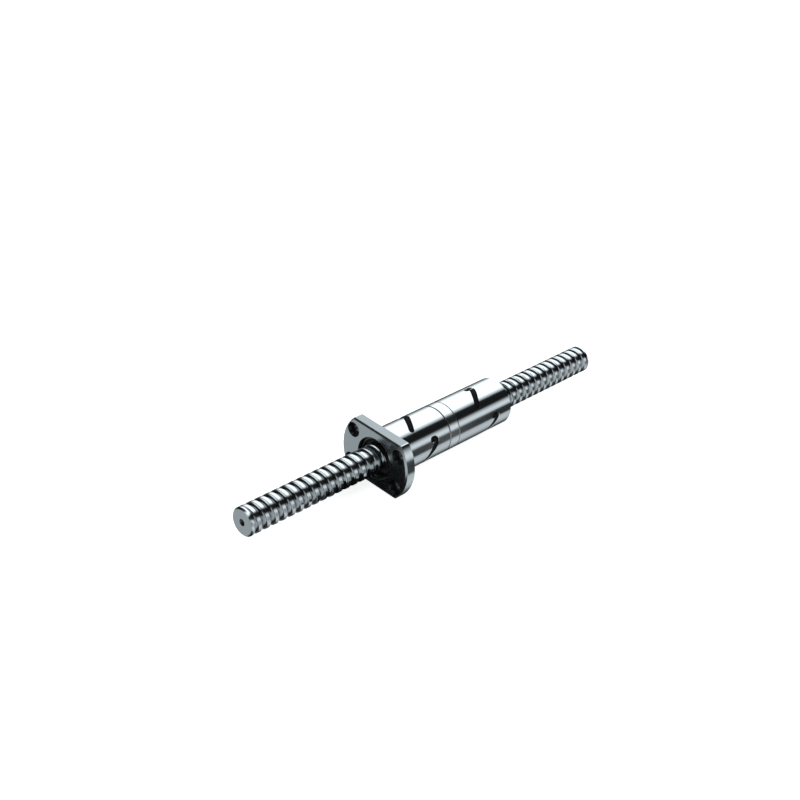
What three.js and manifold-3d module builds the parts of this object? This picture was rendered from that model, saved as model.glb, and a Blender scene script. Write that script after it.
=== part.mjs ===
// Ball screw assembly: a ground screw shaft with a preloaded double ball nut. A flanged nut and a plain
// nut are held apart by a spacer ring, and each runs on three closed circuits of balls that return
// through deflectors set in the nut wall. +X runs along the screw from its front end to its back end,
// +Z is normal to the two flats of the flange, and the origin is on the axis at half the shaft's length.
// Inside the assembly group, axial places are measured from the shaft's front end. Angles about the
// axis are measured from +Y towards +Z. Millimetres.
import * as THREE from "three";
import { mergeVertices } from "three/addons/utils/BufferGeometryUtils.js";
import Module from "manifold-3d";

const wasm = await Module();
wasm.setup();

// Screw shaft
const SHAFT_LENGTH = 243;
const CREST_RADIUS = 7.25;
const LEAD = 5;
const GROOVE_HALF_WIDTH = 1.75;
const GROOVE_FLOOR_HALF_WIDTH = 0.75;
const GROOVE_FLOOR_RADIUS = 5.8;
const GROOVE_START = -0.23; // a groove centre at angle 0
const END_COLLAR = 1.6; // plain land between the thread and each end face
const END_CHAMFER = 0.8;
const COLLAR_RADIUS = CREST_RADIUS + 0.02;
const CENTRE_HOLE_RADIUS = 1.6;
const CENTRE_HOLE_DEPTH = 2.8;

// Balls
const BALL_RADIUS = 3.175 / 2;
const BALL_PITCH_RADIUS = 7.55;
const BALL_SPACING = 3.05; // a little under a diameter, so that a circuit's balls make one body
const BALLS_PER_CIRCUIT = 12;
const BEAD_SHOULDER = 0.27; // of the spacing, from a ball's middle
const BEAD_RADIUS = Math.sqrt(BALL_RADIUS ** 2 - (BEAD_SHOULDER * BALL_SPACING) ** 2);
const NECK_RADIUS = Math.sqrt(BALL_RADIUS ** 2 - (BALL_SPACING / 2) ** 2);

// Nuts
const NUT_RADIUS = 12.5;
const NUT_EDGE = 0.4; // small chamfer on the nut's ends
const NUT_REAR_EDGE = 1.1;
const NUT_BORE_RADIUS = 7.9;
const NUT_GROOVE_RADIUS = 9.6;
const NUT_GROOVE_HALF_WIDTH = 1.9;
const NUT_GROOVE_FLOOR_HALF_WIDTH = 0.8;
const FLANGE_FACE = 82.6;
const SPACER_FRONT = 124.0;
const SPACER_BACK = 130.7;
const NUT_END = 170.9;
const GAP = 0.3; // between pieces that rest on each other

// Flange
const FLANGE_RADIUS = 22;
const FLANGE_FLATS = 30.5; // across the two flats
const FLANGE_THICKNESS = 6;
const FLANGE_CHAMFER = 0.8;
const BOLT_CIRCLE_RADIUS = 17.5;
const BOLT_ANGLE = 30; // each hole's angle above or below the flange's long axis
const BOLT_HOLE_RADIUS = 2.25;
const COUNTERBORE_RADIUS = 3.75;
const COUNTERBORE_DEPTH = 3.2;

// Wipers and the rings that hold them
const FRONT_RECESS = { radius: 10.75, depth: 9 };
const REAR_RECESS = { radius: 10, depth: 7 };
const RING_INSET = 1.6; // from the nut's end face to the retaining ring
const RING_THICKNESS = 1;
const RING_GROOVE_DEPTH = 0.75;
const RING_WIDTH = 1.7;
const WIPER_BORE_RADIUS = 7.6;

// Preload spacer and the pins that lock the nuts to it
const SPACER_BORE_RADIUS = 8.6;
const PIN_RADIUS = 1;
const PIN_CIRCLE_RADIUS = 10.9;
const PIN_LENGTH = 14.4;
const PIN_ANGLES = [20, 200];

// Return deflectors: three to a nut, each crossing one land of the thread
const CIRCUITS = 3;
const CIRCUIT_STEP = 94; // degrees from one deflector to the next
const DEFLECTOR_SETS = [
  { angle: -4, land: 19 },
  { angle: 10.5, land: 28 },
];
const DEFLECTOR_LEAD_IN = 1.3; // how far the tongue's middle lies behind the land it crosses
const DEFLECTOR_INNER_RADIUS = 8.2;
const DEFLECTOR_OUTER_RADIUS = 12.4;
const HEAD_HALF_WIDTH = 1.05;
const TAIL_HALF_WIDTH = 0.8;
const TONGUE_LINE = [
  [0.6, -6.2],
  [2.3, -6.1],
  [2.9, -4.9],
  [1.8, -2.6],
  [-0.2, 0.5],
  [-2.9, 5.3],
];
const TONGUE_STEPS = 12;
const SLOT_CLEARANCE = 0.25;

// Facets
const THREAD_SEGMENTS = 12;
const TURNED_SEGMENTS = 40;
const RECESS_SEGMENTS = 24;
const HOLE_SEGMENTS = 12;
const BALL_SEGMENTS = 6;

const STEEL = { color: 0xc4c9cc, roughness: 0.22, metalness: 1 };
const GROUND_STEEL = { color: 0xd2d6d8, roughness: 0.15, metalness: 1 };
const BALL_STEEL = { color: 0xe0e2e4, roughness: 0.08, metalness: 1 };
const DARK_POLYMER = { color: 0x1b1d1f, roughness: 0.55, metalness: 0 };
const SPRING_STEEL = { color: 0x3a3d40, roughness: 0.4, metalness: 1 };

// Solids -----------------------------------------------------------------------------------------

function solidOf(geometry) {
  geometry.deleteAttribute("normal");
  geometry.deleteAttribute("uv");
  const merged = mergeVertices(geometry, 1e-4);
  return new wasm.Manifold(
    new wasm.Mesh({
      numProp: 3,
      vertProperties: merged.getAttribute("position").array,
      triVerts: new Uint32Array(merged.index.array),
    }),
  );
}

function solidOfTriangles(corners) {
  const geometry = new THREE.BufferGeometry();
  geometry.setAttribute("position", new THREE.Float32BufferAttribute(corners, 3));
  return solidOf(geometry);
}

function meshOf(name, solid, finish) {
  const data = solid.getMesh();
  const geometry = new THREE.BufferGeometry();
  geometry.setAttribute("position", new THREE.BufferAttribute(data.vertProperties, 3));
  geometry.setIndex(new THREE.BufferAttribute(data.triVerts, 1));
  geometry.computeVertexNormals();
  const mesh = new THREE.Mesh(geometry, new THREE.MeshStandardMaterial(finish));
  mesh.name = name;
  return mesh;
}

// A turned solid from an outline of [place along X, radius] points.
function turned(outline, segments = TURNED_SEGMENTS) {
  const points = outline.map(([x, radius]) => new THREE.Vector2(radius, x));
  return solidOf(new THREE.LatheGeometry(points, segments).rotateZ(-Math.PI / 2));
}

function disc(from, to, radius, segments = TURNED_SEGMENTS) {
  return turned([[from, 0], [from, radius], [to, radius], [to, 0]], segments);
}

function ring(from, to, innerRadius, outerRadius, segments) {
  const outline = [
    [from, innerRadius],
    [from, outerRadius],
    [to, outerRadius],
    [to, innerRadius],
    [from, innerRadius],
  ];
  return turned(outline, segments);
}

// A round bar parallel to the axis, at an angle and distance from it.
function bar(from, to, radius, angle, distance) {
  const a = THREE.MathUtils.degToRad(angle);
  const at = [0, distance * Math.cos(a), distance * Math.sin(a)];
  return disc(from, to, radius, HOLE_SEGMENTS).translate(at);
}

// Thread -----------------------------------------------------------------------------------------

// A rod whose outline of [place, radius] points over one lead is swept along a right-hand helix.
function helicalRod(outline, start, turns) {
  const point = (step, k) => {
    const past = k === outline.length;
    const [place, radius] = outline[past ? 0 : k];
    const along = past ? step + THREAD_SEGMENTS : step;
    const a = (2 * Math.PI * (along % THREAD_SEGMENTS)) / THREAD_SEGMENTS;
    const x = start + (LEAD * along) / THREAD_SEGMENTS + place;
    return [x, radius * Math.cos(a), radius * Math.sin(a)];
  };
  const corners = [];
  const last = turns * THREAD_SEGMENTS;
  for (let step = 0; step < last; step++) {
    for (let k = 0; k < outline.length; k++) {
      const [a, b] = [point(step, k), point(step + 1, k)];
      const [c, d] = [point(step + 1, k + 1), point(step, k + 1)];
      corners.push(...a, ...b, ...c, ...a, ...c, ...d);
    }
  }
  const front = [start + LEAD / 2, 0, 0];
  const back = [start + LEAD * (turns + 0.5), 0, 0];
  for (let k = 0; k < outline.length; k++) {
    corners.push(...front, ...point(0, k), ...point(0, k + 1));
    corners.push(...back, ...point(last, k + 1), ...point(last, k));
  }
  for (let step = 0; step < THREAD_SEGMENTS; step++) {
    corners.push(...front, ...point(step + 1, 0), ...point(step, 0));
    corners.push(...back, ...point(last + step, 0), ...point(last + step + 1, 0));
  }
  return solidOfTriangles(corners);
}

// One lead of a thread, from the middle of a land, with the groove in its middle.
function threadOutline(landRadius, halfWidth, floorRadius, floorHalfWidth) {
  return [
    [-halfWidth, landRadius],
    [-floorHalfWidth, floorRadius],
    [floorHalfWidth, floorRadius],
    [halfWidth, landRadius],
  ];
}

function grooveCentre(angle) {
  return GROOVE_START + (LEAD * angle) / 360;
}

function screwShaft() {
  const outline = threadOutline(
    CREST_RADIUS, GROOVE_HALF_WIDTH, GROOVE_FLOOR_RADIUS, GROOVE_FLOOR_HALF_WIDTH,
  );
  const turns = Math.ceil(SHAFT_LENGTH / LEAD) + 1;
  const thread = helicalRod(outline, grooveCentre(0) - LEAD, turns);
  const inCollar = (END_COLLAR + END_CHAMFER) / 2;
  const threaded = thread.intersect(
    disc(inCollar, SHAFT_LENGTH - inCollar, 2 * CREST_RADIUS, THREAD_SEGMENTS),
  );
  const front = turned([
    [0, 0],
    [0, COLLAR_RADIUS - END_CHAMFER],
    [END_CHAMFER, COLLAR_RADIUS],
    [END_COLLAR, COLLAR_RADIUS],
    [END_COLLAR, 0],
  ], THREAD_SEGMENTS);
  const back = front.mirror([1, 0, 0]).translate([SHAFT_LENGTH, 0, 0]);
  const frontHole = turned([
    [-CENTRE_HOLE_DEPTH, 0],
    [-CENTRE_HOLE_DEPTH, 2 * CENTRE_HOLE_RADIUS],
    [CENTRE_HOLE_DEPTH, 0],
  ], HOLE_SEGMENTS);
  const backHole = frontHole.mirror([1, 0, 0]).translate([SHAFT_LENGTH, 0, 0]);
  return threaded.add(front).add(back).subtract(frontHole).subtract(backHole);
}

// Balls ------------------------------------------------------------------------------------------

// The land that a circuit's deflector crosses, and the deflector's angle.
function circuitAt(set, index) {
  const angle = set.angle + index * CIRCUIT_STEP;
  const land = grooveCentre(angle) + LEAD * (set.land + index + 0.5);
  return { angle, land };
}

// A circuit's balls, as one string of beads along the groove, each bead a ring of facets inside its
// ball on either side of its middle and a small neck where it meets the next.
function ballRow({ angle, land }) {
  const helix = Math.hypot(2 * Math.PI * BALL_PITCH_RADIUS, LEAD);
  const step = (360 * BALL_SPACING) / helix;
  const first = (360 - step * (BALLS_PER_CIRCUIT - 1)) / 2;
  const stations = [];
  for (let i = 0; i < BALLS_PER_CIRCUIT; i++) {
    stations.push([i - 0.5, NECK_RADIUS]);
    stations.push([i - BEAD_SHOULDER, BEAD_RADIUS]);
    stations.push([i + BEAD_SHOULDER, BEAD_RADIUS]);
  }
  stations.push([BALLS_PER_CIRCUIT - 0.5, NECK_RADIUS]);
  const point = ([place, radius], side) => {
    const past = first + place * step;
    const turn = THREE.MathUtils.degToRad(angle + past);
    const around = (2 * Math.PI * side) / BALL_SEGMENTS;
    const reach = BALL_PITCH_RADIUS + radius * Math.cos(around);
    const x = land - LEAD / 2 + (LEAD * past) / 360 + radius * Math.sin(around);
    return [x, reach * Math.cos(turn), reach * Math.sin(turn)];
  };
  const corners = [];
  for (let s = 0; s + 1 < stations.length; s++) {
    for (let side = 0; side < BALL_SEGMENTS; side++) {
      const next = (side + 1) % BALL_SEGMENTS;
      const [a, b] = [point(stations[s], side), point(stations[s], next)];
      const [c, d] = [point(stations[s + 1], next), point(stations[s + 1], side)];
      corners.push(...a, ...c, ...b, ...a, ...d, ...c);
    }
  }
  const [start, end] = [stations[0], stations[stations.length - 1]];
  for (let side = 1; side + 1 < BALL_SEGMENTS; side++) {
    corners.push(...point(start, 0), ...point(start, side), ...point(start, side + 1));
    corners.push(...point(end, 0), ...point(end, side + 1), ...point(end, side));
  }
  return solidOfTriangles(corners);
}

// Deflectors -------------------------------------------------------------------------------------

// The comma-shaped tongue, flat, as [along X, along the nut's outer surface], wider by grow all round.
function tongueShape(grow) {
  const line = new THREE.CatmullRomCurve3(TONGUE_LINE.map(([u, v]) => new THREE.Vector3(u, v, 0)));
  const left = [];
  const right = [];
  for (let i = 0; i <= TONGUE_STEPS; i++) {
    const t = i / TONGUE_STEPS;
    const along = line.getTangentAt(t);
    const past = (i === 0 ? -grow : 0) + (i === TONGUE_STEPS ? grow : 0);
    const at = line.getPointAt(t).addScaledVector(along, past);
    const half = THREE.MathUtils.lerp(HEAD_HALF_WIDTH, TAIL_HALF_WIDTH, t) + grow;
    left.push(new THREE.Vector2(at.x - along.y * half, at.y + along.x * half));
    right.unshift(new THREE.Vector2(at.x + along.y * half, at.y - along.x * half));
  }
  return new THREE.Shape([...left, ...right]);
}

// The tongue wrapped round the axis, between two radii.
function wrappedTongue({ angle, land }, innerRadius, outerRadius, grow) {
  const depth = outerRadius - innerRadius;
  const flat = new THREE.ExtrudeGeometry(tongueShape(grow), { depth, bevelEnabled: false });
  const place = flat.getAttribute("position");
  const middle = THREE.MathUtils.degToRad(angle);
  for (let i = 0; i < place.count; i++) {
    const a = middle + place.getY(i) / NUT_RADIUS;
    const radius = outerRadius - place.getZ(i);
    const x = land + DEFLECTOR_LEAD_IN + place.getX(i);
    place.setXYZ(i, x, radius * Math.cos(a), radius * Math.sin(a));
  }
  return solidOf(flat);
}

function deflector(circuit) {
  return wrappedTongue(circuit, DEFLECTOR_INNER_RADIUS, DEFLECTOR_OUTER_RADIUS, 0);
}

function deflectorSlot(circuit) {
  return wrappedTongue(circuit, NUT_BORE_RADIUS - 1, NUT_RADIUS + 1, SLOT_CLEARANCE);
}

// Nuts -------------------------------------------------------------------------------------------

// The space that a nut's thread takes: its bore, with the ball groove standing out of it.
function nutThread(from, to) {
  const outline = threadOutline(
    NUT_BORE_RADIUS, NUT_GROOVE_HALF_WIDTH, NUT_GROOVE_RADIUS, NUT_GROOVE_FLOOR_HALF_WIDTH,
  );
  const before = Math.floor((from - grooveCentre(0)) / LEAD) - 1;
  const turns = Math.ceil((to - from) / LEAD) + 2;
  const rod = helicalRod(outline, grooveCentre(0) + LEAD * before, turns);
  return rod.intersect(disc(from, to, 2 * NUT_RADIUS, THREAD_SEGMENTS));
}

// A wiper's recess and retaining ring groove, open at an end face; inward is +1 or -1 along X.
function wiperRecess(face, inward, { radius, depth }) {
  const grooveNear = face + inward * RING_INSET;
  const grooveFar = grooveNear + inward * (RING_THICKNESS + 2 * GAP);
  const outline = [
    [face - inward, 0],
    [face - inward, radius],
    [grooveNear, radius],
    [grooveNear, radius + RING_GROOVE_DEPTH],
    [grooveFar, radius + RING_GROOVE_DEPTH],
    [grooveFar, radius],
    [face + inward * depth, radius],
    [face + inward * depth, 0],
  ];
  return turned(inward > 0 ? outline : outline.reverse(), RECESS_SEGMENTS);
}

function slotsFor(set) {
  const slots = [];
  for (let i = 0; i < CIRCUITS; i++) slots.push(deflectorSlot(circuitAt(set, i)));
  return slots;
}

// The flange disc, cut to two flats, with a chamfer round its front edge.
function flangePlate() {
  const corner = Math.acos(FLANGE_FLATS / 2 / FLANGE_RADIUS);
  const shape = new THREE.Shape();
  shape.absarc(0, 0, FLANGE_RADIUS, corner, Math.PI - corner);
  shape.absarc(0, 0, FLANGE_RADIUS, Math.PI + corner, 2 * Math.PI - corner);
  const chamfered = new THREE.ExtrudeGeometry(shape, {
    depth: FLANGE_THICKNESS,
    curveSegments: 16,
    bevelThickness: FLANGE_CHAMFER,
    bevelSize: FLANGE_CHAMFER,
    bevelOffset: -FLANGE_CHAMFER,
    bevelSegments: 1,
  });
  chamfered.rotateY(Math.PI / 2).translate(FLANGE_FACE + FLANGE_CHAMFER, 0, 0);
  const back = FLANGE_FACE + FLANGE_THICKNESS;
  return solidOf(chamfered).intersect(disc(FLANGE_FACE - 1, back, 2 * FLANGE_RADIUS, 4));
}

function boltHoles() {
  const back = FLANGE_FACE + FLANGE_THICKNESS;
  const floor = FLANGE_FACE + COUNTERBORE_DEPTH;
  const holes = [];
  for (const angle of [BOLT_ANGLE, 180 - BOLT_ANGLE, 180 + BOLT_ANGLE, -BOLT_ANGLE]) {
    holes.push(bar(FLANGE_FACE - 1, back + 1, BOLT_HOLE_RADIUS, angle, BOLT_CIRCLE_RADIUS));
    holes.push(bar(FLANGE_FACE - 1, floor, COUNTERBORE_RADIUS, angle, BOLT_CIRCLE_RADIUS));
  }
  return holes;
}

function pin(angle, grow) {
  const middle = (SPACER_FRONT + SPACER_BACK) / 2;
  const half = PIN_LENGTH / 2 + grow;
  return bar(middle - half, middle + half, PIN_RADIUS + grow, angle, PIN_CIRCLE_RADIUS);
}

function pinHoles() {
  return PIN_ANGLES.map((angle) => pin(angle, GAP));
}

function cut(body, tools) {
  return tools.reduce((left, tool) => left.subtract(tool), body);
}

function flangedNut() {
  const barrel = turned([
    [FLANGE_FACE + FLANGE_THICKNESS / 2, 0],
    [FLANGE_FACE + FLANGE_THICKNESS / 2, NUT_RADIUS],
    [SPACER_FRONT - NUT_EDGE, NUT_RADIUS],
    [SPACER_FRONT, NUT_RADIUS - NUT_EDGE],
    [SPACER_FRONT, 0],
  ]);
  return cut(flangePlate().add(barrel), [
    nutThread(FLANGE_FACE + FRONT_RECESS.depth - 1, SPACER_FRONT + 1),
    wiperRecess(FLANGE_FACE, 1, FRONT_RECESS),
    ...boltHoles(),
    ...slotsFor(DEFLECTOR_SETS[0]),
    ...pinHoles(),
  ]);
}

function plainNut() {
  const barrel = turned([
    [SPACER_BACK, 0],
    [SPACER_BACK, NUT_RADIUS - NUT_EDGE],
    [SPACER_BACK + NUT_EDGE, NUT_RADIUS],
    [NUT_END - NUT_REAR_EDGE, NUT_RADIUS],
    [NUT_END, NUT_RADIUS - NUT_REAR_EDGE],
    [NUT_END, 0],
  ]);
  return cut(barrel, [
    nutThread(SPACER_BACK - 1, NUT_END - REAR_RECESS.depth + 1),
    wiperRecess(NUT_END, -1, REAR_RECESS),
    ...slotsFor(DEFLECTOR_SETS[1]),
    ...pinHoles(),
  ]);
}

function preloadSpacer() {
  const blank = ring(
    SPACER_FRONT + GAP, SPACER_BACK - GAP, SPACER_BORE_RADIUS, NUT_RADIUS, TURNED_SEGMENTS,
  );
  return cut(blank, pinHoles());
}

// Wipers and retaining rings ---------------------------------------------------------------------

// A ring between two distances inside an end face.
function inset(face, inward, near, far, innerRadius, outerRadius) {
  const ends = [face + inward * near, face + inward * far].sort((a, b) => a - b);
  return ring(ends[0], ends[1], innerRadius, outerRadius, RECESS_SEGMENTS);
}

function wiper(face, inward, recess) {
  const near = RING_INSET + RING_THICKNESS + 3 * GAP;
  return inset(face, inward, near, recess.depth - GAP, WIPER_BORE_RADIUS, recess.radius - GAP);
}

function retainingRing(face, inward, recess) {
  const near = RING_INSET + GAP;
  const outer = recess.radius + RING_GROOVE_DEPTH - GAP;
  return inset(face, inward, near, near + RING_THICKNESS, outer - RING_WIDTH, outer);
}

// Assembly ---------------------------------------------------------------------------------------

const assembly = new THREE.Group();
assembly.position.x = -SHAFT_LENGTH / 2;

assembly.add(meshOf("screw_shaft", screwShaft(), GROUND_STEEL));
assembly.add(meshOf("flanged_nut", flangedNut(), STEEL));
assembly.add(meshOf("plain_nut", plainNut(), STEEL));
assembly.add(meshOf("preload_spacer", preloadSpacer(), STEEL));
assembly.add(meshOf("front_wiper", wiper(FLANGE_FACE, 1, FRONT_RECESS), DARK_POLYMER));
assembly.add(meshOf("rear_wiper", wiper(NUT_END, -1, REAR_RECESS), DARK_POLYMER));
assembly.add(meshOf("front_retaining_ring", retainingRing(FLANGE_FACE, 1, FRONT_RECESS), SPRING_STEEL));
assembly.add(meshOf("rear_retaining_ring", retainingRing(NUT_END, -1, REAR_RECESS), SPRING_STEEL));

DEFLECTOR_SETS.forEach((set, nut) => {
  for (let i = 0; i < CIRCUITS; i++) {
    const number = nut * CIRCUITS + i + 1;
    const circuit = circuitAt(set, i);
    assembly.add(meshOf(`return_deflector_${number}`, deflector(circuit), DARK_POLYMER));
    assembly.add(meshOf(`ball_row_${number}`, ballRow(circuit), BALL_STEEL));
  }
});

PIN_ANGLES.forEach((angle, i) => {
  assembly.add(meshOf(`locating_pin_${i + 1}`, pin(angle, 0), STEEL));
});

const ballScrew = new THREE.Group();
ballScrew.add(assembly);
export default ballScrew;
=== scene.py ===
import math

import bmesh
import bpy
import numpy as np
from mathutils import Matrix, Vector


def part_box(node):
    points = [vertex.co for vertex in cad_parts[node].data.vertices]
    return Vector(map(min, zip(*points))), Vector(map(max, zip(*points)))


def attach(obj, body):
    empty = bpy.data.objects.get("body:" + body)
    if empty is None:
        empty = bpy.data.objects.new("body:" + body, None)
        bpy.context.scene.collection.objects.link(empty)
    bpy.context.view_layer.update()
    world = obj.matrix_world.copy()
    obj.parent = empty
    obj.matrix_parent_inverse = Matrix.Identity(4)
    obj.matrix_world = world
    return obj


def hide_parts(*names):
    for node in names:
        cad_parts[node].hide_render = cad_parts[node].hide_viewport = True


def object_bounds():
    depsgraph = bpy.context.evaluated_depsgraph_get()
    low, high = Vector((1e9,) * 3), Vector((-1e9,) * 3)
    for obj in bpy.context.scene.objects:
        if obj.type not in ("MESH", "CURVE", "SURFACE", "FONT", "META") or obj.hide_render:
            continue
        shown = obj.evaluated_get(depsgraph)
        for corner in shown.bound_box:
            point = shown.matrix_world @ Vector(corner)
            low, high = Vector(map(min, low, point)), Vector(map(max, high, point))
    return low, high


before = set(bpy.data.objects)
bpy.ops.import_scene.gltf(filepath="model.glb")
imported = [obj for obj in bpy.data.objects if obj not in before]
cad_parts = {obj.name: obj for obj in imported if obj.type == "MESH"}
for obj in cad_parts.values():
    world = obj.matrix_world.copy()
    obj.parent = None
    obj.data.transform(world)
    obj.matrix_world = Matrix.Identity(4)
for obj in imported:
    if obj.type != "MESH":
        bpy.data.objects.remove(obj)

CAD_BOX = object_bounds()
MM = 0.001


def reach(node):
    """Front, back and radius of a CAD node about the screw's axis, in millimetres."""
    low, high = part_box(node)
    return low.x / MM, high.x / MM, high.y / MM


SHAFT_FRONT, SHAFT_BACK, _ = reach("screw_shaft")
FLANGE_FACE, FLANGED_NUT_BACK, FLANGE_RADIUS = reach("flanged_nut")
PLAIN_NUT_FRONT, PLAIN_NUT_BACK, NUT_RADIUS = reach("plain_nut")
FLANGE_HALF_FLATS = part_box("flanged_nut")[1].z / MM

# Thread and balls
LEAD = 5.0
CREST_RADIUS = 7.25
BALL_RADIUS = 3.175 / 2
BALL_PITCH_RADIUS = 7.55
ARC_RADIUS = 1.06 * BALL_RADIUS  # of the two arcs that meet in the pointed groove
ARC_OFFSET = (ARC_RADIUS - BALL_RADIUS) * math.sqrt(0.5)
GROOVE_START = SHAFT_FRONT - 0.23  # a groove centre at angle 0
GROOVE_EDGE = 0.06
SHAFT_STEPS = 60  # to one turn
NUT_STEPS = 48
BALL_SPACING = 3.2
BALLS_PER_CIRCUIT = 12
END_COLLAR = 1.6
END_CHAMFER = 0.8
CENTRE_HOLE_RADIUS = 1.6
CENTRE_HOLE_DEPTH = 2.8

# Flange and nuts
FLANGE_THICKNESS = 6.0
FLANGE_CHAMFER = 0.8
FLANGE_CORNER = 1.0
BARREL_FILLET = 0.4
EDGE_BREAK = 0.2
NUT_EDGE = 0.35  # where the nuts face the spacer
SPACER_FRONT_EDGE = 0.5
NUT_REAR_EDGE = 1.1
NUT_BORE_RADIUS = 7.9
BOLT_CIRCLE_RADIUS = 17.5
BOLT_ANGLES = (30, 150, 210, 330)
BOLT_HOLE_RADIUS = 2.25
COUNTERBORE_RADIUS = 3.75
COUNTERBORE_DEPTH = 3.2
FRONT_RECESS = (10.75, 9.0)  # radius, depth
REAR_RECESS = (10.0, 7.0)
RING_INSET = 1.6
RING_GROOVE = (1.6, 0.75)  # width, depth
PIN_ANGLES = (20, 200)
PIN_CIRCLE_RADIUS = 10.9

# Return deflectors
CIRCUITS = 3
CIRCUIT_STEP = 94
DEFLECTOR_SETS = ((-4, 19), (10.5, 28))  # angle and land of each nut's first deflector
DEFLECTOR_LEAD_IN = 1.3
DEFLECTOR_INNER_RADIUS = 8.2
DEFLECTOR_OUTER_RADIUS = 12.4
HEAD_HALF_WIDTH = 1.25
TAIL_HALF_WIDTH = 1.15
SLOT_CLEARANCE = 0.3
TONGUE_LINE = ((0.6, -6.2), (2.3, -6.1), (2.9, -4.9), (1.8, -2.6), (-0.2, 0.5), (-2.9, 5.3))
TONGUE_STEPS = 8  # between two points of the line

# Spacer, wipers and dowels
SPACER_GAP = 0.05  # to the nut at each side
SPACER_BORE_RADIUS = 8.6
LIP_CLEARANCE = 0.1  # from a wiper's lips to the crests of the thread
WIPER_LIPS = 3
WIPER_EDGE = 0.35
PIN_RADIUS = 1.0
PIN_HOLE_RADIUS = 1.03

TURNED_STEPS = 240
SMALL_TURNED_STEPS = 120
ROUNDING_STEPS = 4  # over a quarter circle
SHARP_ANGLE = math.radians(32)


# Meshes -------------------------------------------------------------------------------------------

def solid(name, points, faces):
    """A closed mesh in millimetres, with coincident points merged and its faces turned outwards."""
    mesh = bpy.data.meshes.new(name)
    mesh.from_pydata([tuple(p) for p in points], [], faces)
    obj = bpy.data.objects.new(name, mesh)
    bpy.context.scene.collection.objects.link(obj)
    work = bmesh.new()
    work.from_mesh(mesh)
    bmesh.ops.remove_doubles(work, verts=work.verts, dist=1e-4)
    bmesh.ops.dissolve_degenerate(work, edges=work.edges, dist=1e-5)
    bmesh.ops.recalc_face_normals(work, faces=work.faces)
    work.to_mesh(mesh)
    work.free()
    return obj


def around(x, radius, degrees):
    """A point at a radius and an angle about the screw's axis."""
    a = math.radians(degrees)
    return x, radius * math.cos(a), radius * math.sin(a)


def grid_faces(rows, columns):
    """Quads between closed rows of points that are numbered row by row."""
    faces = []
    for r in range(rows - 1):
        for c in range(columns):
            d = (c + 1) % columns
            faces.append((r * columns + c, r * columns + d, (r + 1) * columns + d, (r + 1) * columns + c))
    return faces


def turned(name, outline, closed=False, steps=TURNED_STEPS, centre=(0, 0)):
    """A body turned from an outline of (x, radius), which ends on the axis or closes on itself."""
    rings = list(outline) + ([outline[0]] if closed else [])
    points = []
    for x, radius in rings:
        for i in range(steps):
            px, py, pz = around(x, radius, 360 * i / steps)
            points.append((px, py + centre[0], pz + centre[1]))
    return solid(name, points, grid_faces(len(rings), steps))


def cut(body, cutters):
    """Takes the cutters out of the body and deletes them."""
    for cutter in cutters:
        tool = body.modifiers.new("cut", "BOOLEAN")
        tool.operation = "DIFFERENCE"
        tool.solver = "MANIFOLD"
        tool.object = cutter
    depsgraph = bpy.context.evaluated_depsgraph_get()
    carved = bpy.data.meshes.new_from_object(body.evaluated_get(depsgraph))
    carved.materials.clear()
    body.modifiers.clear()
    body.data = carved
    for cutter in cutters:
        bpy.data.objects.remove(cutter)
    return body


def shade(obj):
    """Smooth shading up to sharp edges, with true radial normals on faces turned about the axis."""
    mesh = obj.data
    mesh.shade_smooth()
    mesh.set_sharp_from_angle(angle=SHARP_ANGLE)
    corners = len(mesh.loops)
    normals = np.empty(corners * 3, np.float32)
    mesh.corner_normals.foreach_get("vector", normals)
    normals = normals.reshape(-1, 3)
    vertex = np.empty(corners, np.int32)
    mesh.loops.foreach_get("vertex_index", vertex)
    places = np.empty(len(mesh.vertices) * 3, np.float32)
    mesh.vertices.foreach_get("co", places)
    places = places.reshape(-1, 3)[vertex]
    starts = np.empty(len(mesh.polygons), np.int32)
    mesh.polygons.foreach_get("loop_start", starts)
    totals = np.empty(len(mesh.polygons), np.int32)
    mesh.polygons.foreach_get("loop_total", totals)
    facing = np.empty(len(mesh.polygons) * 3, np.float32)
    mesh.polygons.foreach_get("normal", facing)
    facing = np.repeat(facing.reshape(-1, 3), totals, axis=0)
    radius = np.hypot(places[:, 1], places[:, 2])
    spread = np.maximum.reduceat(radius, starts) - np.minimum.reduceat(radius, starts)
    is_turned = (np.repeat(spread, totals) < 0.003) & (np.abs(facing[:, 0]) < 0.01)
    outward = np.stack([np.zeros(corners), places[:, 1] / radius, places[:, 2] / radius], axis=1)
    side = np.sign((outward * facing).sum(axis=1))
    normals[is_turned] = (outward * side[:, None])[is_turned]
    mesh.normals_split_custom_set(normals.tolist())


def piece(obj, body, nodes, material):
    """Shades a finished shape, scales it to metres and gives it its body and finish."""
    shade(obj)
    obj.data.transform(Matrix.Scale(MM, 4))
    if not obj.data.materials:
        obj.data.materials.append(material)
    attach(obj, body)
    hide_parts(*nodes)


# Thread -------------------------------------------------------------------------------------------

def groove_centre(degrees):
    return GROOVE_START + LEAD * degrees / 360


def pointed_groove(land_radius, outward, steps):
    """The (place, radius) outline of one groove, from one land's edge to the next: two arcs that meet in
    a point, with a small chamfer at each edge. outward is -1 for the shaft and 1 for the nut."""
    arc_centre = BALL_PITCH_RADIUS - outward * ARC_OFFSET
    edge_radius = land_radius + outward * GROOVE_EDGE
    edge_angle = math.asin((edge_radius - arc_centre) * outward / ARC_RADIUS)
    floor_angle = math.acos(ARC_OFFSET / ARC_RADIUS)
    half = []
    for i in range(steps + 1):
        a = floor_angle + (edge_angle - floor_angle) * i / steps
        place = ARC_RADIUS * math.cos(a) - ARC_OFFSET
        half.append((place, arc_centre + outward * ARC_RADIUS * math.sin(a)))
    half.append((half[-1][0] + 1.3 * GROOVE_EDGE, land_radius))
    return [(-x, r) for x, r in reversed(half[1:])] + half


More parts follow.
